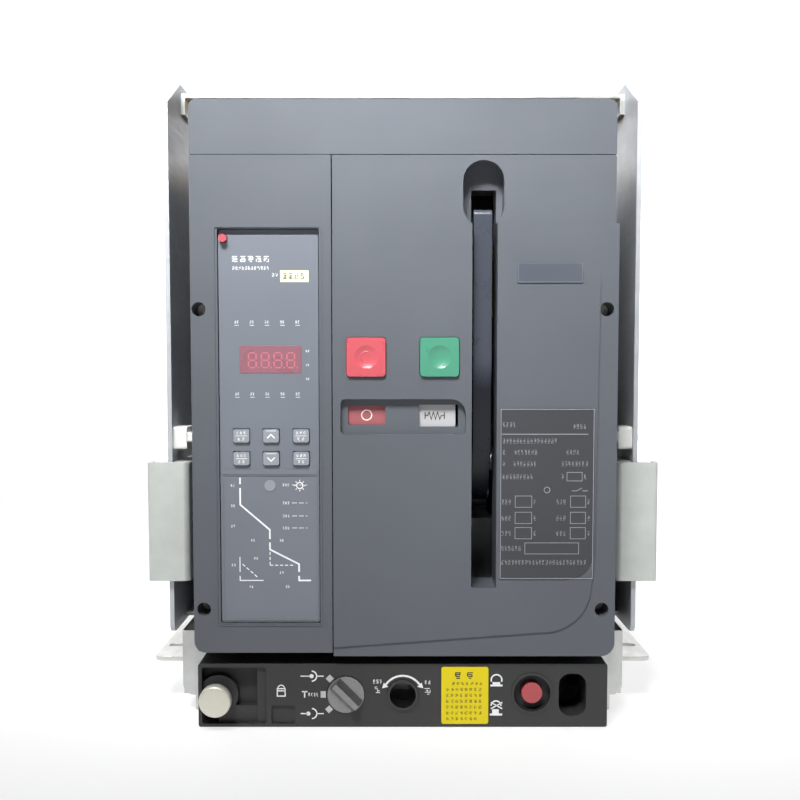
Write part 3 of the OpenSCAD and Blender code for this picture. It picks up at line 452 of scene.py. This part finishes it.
RELIEF = 0.6  # the ledge and the outline stand this far in front of the trip unit's face
fascia_low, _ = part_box("trip_fascia")
fascia_y = fascia_low.y + RELIEF * MM
fascia = Vector((fascia_low.x, fascia_y, fascia_low.z))

title = Print(fascia)
title.words(6.9, 188.3, 5, 3.2, 3.1, 4.05, seed=11, weight=0.5)
title.words(7.0, 183.7, 12, 1.35, 1.9, 1.62, seed=12, weight=0.3)
title.words(27.4, 180.2, 2, 1.4, 1.8, 1.8, seed=13, weight=0.3)
for row, size in ((156.2, 1.5), (119.2, 1.5)):
    for i, x in enumerate((8.9, 16.7, 24.5, 32.4, 40.2)):
        title.words(x - 0.9, row, 2, 0.85, size, 1.15, seed=20 + i, weight=0.26)
        title.line([(x - 0.9, row - 1.7), (x + 1.4, row - 1.7)], 0.25)
for i, z in enumerate((141.3, 134.1, 126.9)):
    title.words(44.6, z, 2, 0.8, 1.2, 1.0, seed=30 + i, weight=0.24)

# current-time curve of the lower panel
CURVE = 0.85
title.line([(10.1, 75.8), (10.1, 72.4)], CURVE)
title.line([(10.1, 70.4), (10.1, 61.7), (25.4, 48.5), (25.4, 43.7)], CURVE)
title.line([(25.4, 41.9), (25.4, 38.2), (40.5, 30.5), (40.5, 26.4)], CURVE)
title.line([(40.5, 24.3), (40.5, 21.9), (46.7, 21.9)], CURVE)
title.dashes((25.4, 36.9), (25.4, 29.9), 0.5, 1.6, 1.0)
title.dashes((25.4, 29.9), (38.5, 29.9), 0.5, 1.6, 1.0)
title.line([(9.7, 34.3), (9.7, 26.4)], 0.5)
title.line([(9.7, 24.3), (9.7, 21.9), (21.9, 21.9)], 0.5)
title.dashes((11.0, 30.5), (19.4, 23.1), 0.5, 1.8, 1.0)
for i, (x, z) in enumerate(((5.2, 71.7), (5.2, 61.0), (5.2, 50.5), (15.5, 43.0), (30.5, 43.0), (5.4, 30.0),
                            (17.0, 33.5), (30.4, 26.0), (33.5, 18.6), (14.5, 18.6))):
    title.words(x, z, 2, 0.9, 1.4, 1.2, seed=40 + i, weight=0.24)
for i, (x, z) in enumerate(((32.2, 72.0), (32.2, 62.6), (32.2, 55.8), (32.2, 49.5))):
    title.words(x, z, 3, 0.9, 1.5, 1.25, seed=60 + i, weight=0.24)
    title.dashes((37.0, z), (45.0, z), 0.3, 2.6, 1.0)
title.build("fascia_print", "white_ink", "breaker")

sticker = Print(fascia, height=0.1)
sticker.shape([(31.7, 176.6), (46.3, 176.6), (46.3, 182.5), (31.7, 182.5)])
sticker.build("rating_sticker", "cream_film", "breaker")
digits = Print(fascia - Vector((0, 0.1 * MM, 0)), height=0.05)
digits.words(33.2, 179.6, 4, 2.1, 3.3, 2.9, seed=5, weight=0.5)
digits.build("sticker_print", "black_ink", "breaker")

soft_keys = Print(fascia, height=0.35)
soft_keys.disc(25.7, 71.7, 2.9, 40)
soft_keys.build("round_key", "key_plastic", "breaker")
sun = Print(fascia)
sun.ring(41.1, 71.7, 1.6, 0.55)
for k in range(8):
    a = math.radians(45 * k)
    sun.line([(41.1 + 2.2 * math.cos(a), 71.7 + 2.2 * math.sin(a)),
              (41.1 + 3.0 * math.cos(a), 71.7 + 3.0 * math.sin(a))], 0.45)
sun.build("fault_lamp_mark", "white_ink", "breaker")

# seven-segment marks behind the display window
lens_low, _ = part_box("display_lens")
segments = Print(lens_low, height=0.05)
SEG_W, SEG_H, SEG_T = 3.9, 7.6, 0.75
for k in range(4):
    x0 = 4.6 + 6.6 * k
    z0 = 2.9
    for zz in (0.0, 0.5, 1.0):
        segments.bar(x0 + SEG_W / 2, z0 + zz * SEG_H, SEG_W - 1.0, SEG_T)
    for xx in (0.0, 1.0):
        for zz in (0.25, 0.75):
            segments.bar(x0 + xx * SEG_W, z0 + zz * SEG_H, SEG_T, SEG_H / 2 - 1.0)
    segments.disc(x0 + SEG_W + 1.2, z0, 0.45, 12)
segments.build("display_digits", "red_glow", "breaker")

for k in range(1, 7):
    key_low, key_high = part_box(f"key_{k}")
    w = (key_high.x - key_low.x) / MM
    h = (key_high.z - key_low.z) / MM
    mark = Print(key_low)
    if k in (2, 5):
        up = 1 if k == 2 else -1
        mark.line([(w / 2 - 2.6, h - 0.9), (w / 2 + 2.6, h - 0.9)], 0.3)
        mark.line([(w / 2 - 1.9, h / 2 - 0.3 - 0.9 * up), (w / 2, h / 2 - 0.3 + 1.0 * up),
                   (w / 2 + 1.9, h / 2 - 0.3 - 0.9 * up)], 0.65)
    else:
        mark.line([(1.2, h / 2), (w - 1.2, h / 2)], 0.28)
        mark.words(1.5, h / 2 + 1.6, 3, 1.3, 1.5, 1.85, seed=70 + k, weight=0.26)
        mark.words(2.1, h / 2 - 1.6, 2, 1.5, 1.6, 2.2, seed=80 + k, weight=0.28)
    mark.build(f"key_{k}_print", "white_ink", f"key_{k}")


# ---------------------------------------------------------------- buttons and flags

DISH = 1.4  # depth of the dish in a button
open_low, open_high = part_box("open_button")
dish_floor = open_low.y / MM + DISH
lathe("open_button_ring", ((open_low.x + open_high.x) / 2, (open_low.z + open_high.z) / 2), [
    (dish_floor - 0.35, 2.5), (dish_floor - 0.35, 3.0), (dish_floor + 0.3, 3.1), (dish_floor + 0.3, 2.4),
], "button_red", "open_button", hoop=True)

flag_low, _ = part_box("onoff_flag")
ring = Print(flag_low)
ring.ring(10.45, 5.7, 2.6, 0.5)
ring.bar(10.45, 16.8, 0.7, 5.6)
ring.build("onoff_flag_print", "white_ink", "onoff_flag")

flag_low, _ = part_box("charge_flag")
spring = Print(flag_low)
coil = [(4.0, 6.4), (5.4, 6.4)]
for k in range(6):
    coil.append((6.1 + 1.1 * k, 8.3 if k % 2 == 0 else 4.5))
coil += [(12.4, 6.4), (14.0, 6.4)]
spring.line(coil, 0.5)
spring.line([(4.0, 4.6), (4.0, 8.2)], 0.5)
spring.line([(14.0, 4.6), (14.0, 8.2)], 0.5)
tight = [(5.4, 17.4), (6.4, 17.4)]
for k in range(6):
    tight.append((6.9 + 0.8 * k, 19.3 if k % 2 == 0 else 15.5))
tight += [(11.4, 17.4), (12.4, 17.4)]
spring.line(tight, 0.45)
spring.build("charge_flag_print", "black_ink", "charge_flag")


# ---------------------------------------------------------------- rating plates

plate_low, plate_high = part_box("rating_plate")
W = (plate_high.x - plate_low.x) / MM
H = (plate_high.z - plate_low.z) / MM
rating = Print(plate_low, height=0.04)


def at(fx, fy):
    """A place on the rating plate from fractions of its width and height, from the top left."""
    return fx * W, (1 - fy) * H


def row_of_words(fx0, fx1, fy0, fy1, seed):
    """Made-up small print that fills a field."""
    x0, z = at(fx0, (fy0 + fy1) / 2)
    height = min((fy1 - fy0) * H, 2.4)
    pitch = height * 0.74
    count = max(1, int((fx1 - fx0) * W / pitch))
    rating.words(x0, z, count, pitch * 0.7, height, pitch, seed, weight=0.22)


def field(fx0, fx1, fy0, fy1):
    x0, z1 = at(fx0, fy0)
    x1, z0 = at(fx1, fy1)
    rating.frame(x0, z0, x1, z1, 0.25)


rating.frame(0.5, 0.5, W - 0.5, H - 0.5, 0.3)
rating.line([at(0.02, 0.15), at(0.93, 0.15)], 0.35)
row_of_words(0.03, 0.2, 0.07, 0.12, 101)
row_of_words(0.77, 0.93, 0.085, 0.125, 102)
row_of_words(0.03, 0.62, 0.17, 0.21, 103)
for k, (fx0, fx1, fy0, fy1) in enumerate((
        (0.03, 0.10, 0.24, 0.27), (0.15, 0.42, 0.24, 0.27), (0.70, 0.86, 0.24, 0.27),
        (0.03, 0.09, 0.305, 0.34), (0.14, 0.42, 0.305, 0.34), (0.65, 0.95, 0.305, 0.34),
        (0.03, 0.39, 0.38, 0.415), (0.65, 0.70, 0.38, 0.415), (0.89, 0.95, 0.38, 0.415))):
    row_of_words(fx0, fx1, fy0, fy1, 110 + k)
field(0.71, 0.87, 0.372, 0.422)
x, z = at(0.5, 0.475)
rating.ring(x, z, 1.5, 0.3)
x, z = at(0.76, 0.48)
rating.line([(x, z), (x + 2.6, z), (x + 5.4, z + 1.5)], 0.3)
rating.line([(x + 5.6, z), (x + 8.4, z)], 0.3)
for k, fy0 in enumerate((0.51, 0.605, 0.695)):
    fy1 = fy0 + 0.066
    row_of_words(0.02, 0.14, fy0 + 0.015, fy1 - 0.012, 130 + k)
    field(0.165, 0.34, fy0, fy1)
    row_of_words(0.36, 0.42, fy0 + 0.015, fy1 - 0.012, 140 + k)
    row_of_words(0.60, 0.72, fy0 + 0.015, fy1 - 0.012, 150 + k)
    field(0.75, 0.91, fy0, fy1)
    row_of_words(0.93, 0.97, fy0 + 0.015, fy1 - 0.012, 160 + k)
row_of_words(0.02, 0.25, 0.8, 0.835, 170)
field(0.27, 0.84, 0.785, 0.85)
row_of_words(0.02, 0.94, 0.88, 0.92, 171)
rating.build("rating_plate_print", "plate_ink", "breaker")

blank_low, blank_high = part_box("blank_plate")
blank = Print(blank_low, height=0.04)
bw = (blank_high.x - blank_low.x) / MM
bh = (blank_high.z - blank_low.z) / MM
blank.frame(0.5, 0.5, bw - 0.5, bh - 0.5, 0.25)
blank.build("blank_plate_print", "faint_ink", "breaker")


# ---------------------------------------------------------------- lower panel marks

RIM = 1.2  # the crank collar stands this far in front of the panel
panel_low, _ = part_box("chassis_panel")
panel_face = Vector((panel_low.x, panel_low.y + RIM * MM, panel_low.z))
marks = Print(panel_face, height=0.1)

# padlock
marks.frame(41.8, 16.6, 45.9, 20.6, 0.6)
marks.line([(41.8, 19.4), (45.9, 19.4)], 0.6)
marks.ring(43.85, 20.7, 1.75, 0.55, 0, 180, 16)


def contact_symbol(z, dot_x):
    """A plug dot and a socket arc: apart or together."""
    marks.line([(54.1, z), (dot_x, z)], 0.55)
    marks.disc(dot_x + 0.1, z, 1.1)
    marks.ring(59.9, z, 2.7, 0.65, -88, 88, 20)
    marks.line([(62.5, z), (66.3, z)], 0.55)


contact_symbol(27.3, 59.8)
contact_symbol(7.2, 58.0)
marks.bar(56.2, 19.0, 2.8, 0.6)
marks.bar(56.2, 17.5, 0.7, 3.4)
marks.words(58.0, 17.4, 4, 1.0, 1.9, 1.45, seed=201, weight=0.35)

# arrows round the crank socket: out and in
cx, cz = 108.0, 16.8
marks.ring(cx, cz, 10.7, 1.05, 34, 146, 40)
for sign in (-1, 1):
    a = math.radians(32)
    tip = (cx + sign * 11.6 * math.cos(math.radians(20)), cz + 11.6 * math.sin(math.radians(20)))
    inner = (cx + sign * 9.0 * math.cos(a), cz + 9.0 * math.sin(a))
    outer = (cx + sign * 12.2 * math.cos(math.radians(35)), cz + 12.2 * math.sin(math.radians(35)))
    marks.shape([tip, inner, outer] if sign > 0 else [outer, inner, tip])
marks.words(92.3, 24.4, 3, 1.2, 2.1, 1.7, seed=211, weight=0.35)
marks.words(92.9, 20.0, 1, 3.6, 3.4, 4.0, seed=212, weight=0.4)
marks.words(119.6, 24.0, 2, 1.3, 2.1, 1.8, seed=213, weight=0.35)
marks.words(119.4, 19.2, 1, 3.6, 3.4, 4.0, seed=216, weight=0.4)

# locked and unlocked marks beside the label
marks.ring(157.5, 25.3, 2.8, 0.75, -20, 200, 28)
marks.bar(157.4, 23.4, 4.0, 1.4)
marks.bar(157.5, 22.3, 6.4, 1.0)
marks.ring(157.3, 11.4, 2.6, 0.7, 0, 180, 24)
marks.line([(154.6, 9.8), (160.6, 13.2)], 0.7)
marks.line([(160.6, 9.8), (154.6, 13.2)], 0.7)
marks.bar(157.0, 8.4, 3.5, 2.3)
marks.bar(157.3, 6.7, 6.6, 1.1)
marks.build("panel_print", "white_ink", "chassis")

stops = Print(panel_face, height=0.12)
knob_x, knob_z, stop_r = 78.0, 17.5, 12.0
for angle, turn, size in ((135, 45, (3.1, 3.1)), (180, 0, (2.7, 3.5)), (222, 42, (3.0, 3.0))):
    a = math.radians(angle)
    stops.bar(knob_x + stop_r * math.cos(a), knob_z + stop_r * math.sin(a), size[0], size[1], turn)
stops.build("position_marks", "grey_ink", "chassis")

label_low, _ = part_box("warning_label")
notice = Print(label_low, height=0.04)
notice.words(6.9, 26.0, 1, 3.5, 3.7, 5.0, seed=301, weight=0.75)
notice.words(13.1, 26.0, 1, 3.7, 3.7, 5.0, seed=305, weight=0.75)
for k, (x0, count) in enumerate(((5.4, 7), (2.4, 8), (2.4, 8), (2.4, 8), (2.4, 8), (2.4, 8), (2.4, 7))):
    notice.words(x0, 21.7 - 3.15 * k, count, 1.7, 1.6, 2.45, seed=310 + k, weight=0.24)
notice.build("label_print", "black_ink", "chassis")


# ---------------------------------------------------------------- small parts

# lock plunger: nickel head, bright ring behind it, dark shaft
pin_low, pin_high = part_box("lock_plunger")
pin_x, pin_z = (pin_low.x + pin_high.x) / 2, (pin_low.z + pin_high.z) / 2
front = pin_low.y / MM
back = pin_high.y / MM
head = lathe("plunger_head", (pin_x, pin_z), [
    (front, 7.0), (front + 0.15, 7.5), (front + 0.6, 8.1),
    (front + 1.4, 8.4), (front + 5.2, 8.4), (front + 5.6, 8.0),
], "plunger_cream", "lock_plunger")
lathe("plunger_ring", (pin_x, pin_z), [
    (front + 5.6, 7.2), (front + 6.2, 7.2), (front + 6.5, 8.0),
    (front + 7.0, 8.3), (front + 8.6, 8.3), (front + 9.0, 7.9),
], "chrome", "lock_plunger")
lathe("plunger_shaft", (pin_x, pin_z), [
    (front + 9.0, 4.0), (back - 0.6, 4.0), (back, 3.4),
], "spring_steel", "lock_plunger")
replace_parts(head, "lock_plunger")

# glossy collar of the crank socket, which lines the hole in the panel
screw_low, screw_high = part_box("racking_screw")
collar_z = (screw_low.z + screw_high.z) / 2
collar_front = panel_low.y / MM
lathe("crank_collar", (0, collar_z), [
    (collar_front + 15, 6.75), (collar_front + 3.0, 6.75),
    (collar_front + 1.2, 6.9), (collar_front + 0.3, 7.4),
    (collar_front, 7.9), (collar_front + 0.3, 8.3), (collar_front + 1.1, 8.45), (collar_front + 1.3, 8.4),
    (collar_front + 1.3, 7.2), (collar_front + 15, 7.0),
], "gloss_black", "chassis", hoop=True)

# closing springs: two real coils
spring_low, spring_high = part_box("closing_springs")
coils = []
WIRE = 1.9
for side in (-1, 1):
    axis_x = side * 15.0
    axis_y = (spring_low.y + spring_high.y) / 2 / MM
    z0, z1 = spring_low.z / MM + WIRE, spring_high.z / MM - WIRE
    path = []
    turns = 15
    radius = 12 - WIRE
    for i in range(turns * 20 + 1):
        a = 2 * math.pi * i / 20
        rise = (z1 - z0) * i / (turns * 20)
        path.append((axis_x + radius * math.cos(a), axis_y + radius * math.sin(a), z0 + rise))
    coils.append(path)
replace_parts(tube("closing_coils", coils, WIRE, "spring_steel", "breaker"), "closing_springs")


# ---------------------------------------------------------------- floor, light, camera

floor_bm = bmesh.new()
bmesh.ops.create_grid(floor_bm, x_segments=1, y_segments=1, size=3.0)
floor_mesh = bpy.data.meshes.new("floor")
floor_bm.to_mesh(floor_mesh)
floor_bm.free()
floor = bpy.data.objects.new("floor", floor_mesh)
bpy.context.scene.collection.objects.link(floor)
floor.location = (0, 0, -0.0005)
floor_mat, floor_tree, floor_shader, floor_vec = new_material("floor_paper")
floor_colour = tint(floor_tree, add_noise(floor_tree, floor_vec, 3.0), (0.4, 0.4, 0.4), (0.43, 0.43, 0.43))
floor_tree.links.new(floor_colour, floor_shader.inputs["Base Color"])
floor_shader.inputs["Roughness"].default_value = 0.9
# a lit paper, so the floor stays pale without much lamp light on it
floor_shader.inputs["Emission Color"].default_value = (1, 1, 1, 1)
floor_shader.inputs["Emission Strength"].default_value = 0.7
floor_mesh.materials.append(floor_mat)


def area_light(name, place, target, size, power, tone=(1, 1, 1)):
    data = bpy.data.lights.new(name, "AREA")
    data.shape = "RECTANGLE"
    data.size, data.size_y = size
    data.energy = power
    data.color = tone
    lamp = bpy.data.objects.new(name, data)
    bpy.context.scene.collection.objects.link(lamp)
    lamp.location = place
    lamp.rotation_euler = (Vector(target) - Vector(place)).to_track_quat("-Z", "Y").to_euler()
    return lamp


key_light = area_light("key_soft_box", (-0.16, -0.72, 0.98), (-0.03, -0.14, 0.45), (0.42, 0.3), 2.8)
key_light.data.spread = math.radians(44)
area_light("left_fill", (-1.5, -0.9, 0.7), (0, -0.1, 0.15), (0.9, 1.1), 0.45)
area_light("right_fill", (1.5, -0.9, 0.7), (0, -0.1, 0.15), (0.9, 1.1), 0.3)

backdrop_bm = bmesh.new()
bmesh.ops.create_grid(backdrop_bm, x_segments=1, y_segments=1, size=3.0)
backdrop_mesh = bpy.data.meshes.new("backdrop")
backdrop_bm.to_mesh(backdrop_mesh)
backdrop_bm.free()
backdrop = bpy.data.objects.new("backdrop", backdrop_mesh)
bpy.context.scene.collection.objects.link(backdrop)
backdrop.location = (0, 1.6, 1.0)
backdrop.rotation_euler = (math.radians(90), 0, 0)
paper, paper_tree, paper_shader, paper_vec = new_material("backdrop_paper")
paper_shader.inputs["Base Color"].default_value = (0.9, 0.9, 0.9, 1)
paper_shader.inputs["Emission Color"].default_value = (1, 1, 1, 1)
paper_tree.links.new(remap(paper_tree, add_noise(paper_tree, paper_vec, 2.0), 0.95, 1.0),
                     paper_shader.inputs["Emission Strength"])
backdrop_mesh.materials.append(paper)

world = bpy.data.worlds.new("studio")
bpy.context.scene.world = world
world.use_nodes = True
world.node_tree.nodes["Background"].inputs["Color"].default_value = (1, 1, 1, 1)
world.node_tree.nodes["Background"].inputs["Strength"].default_value = 0.1

camera_data = bpy.data.cameras.new("camera")
camera = bpy.data.objects.new("camera", camera_data)
bpy.context.scene.collection.objects.link(camera)
camera.location = (-0.0011, -0.764, 0.190)
camera.rotation_euler = (math.radians(90 - 3.96), 0, 0)
camera_data.sensor_width = 36
camera_data.lens = 51.93
camera_data.shift_x = -0.0008
camera_data.shift_y = 0.0586
camera_data.dof.use_dof = False
camera_data.clip_start = 0.05
bpy.context.scene.camera = camera

bpy.context.scene.view_settings.view_transform = "Standard"
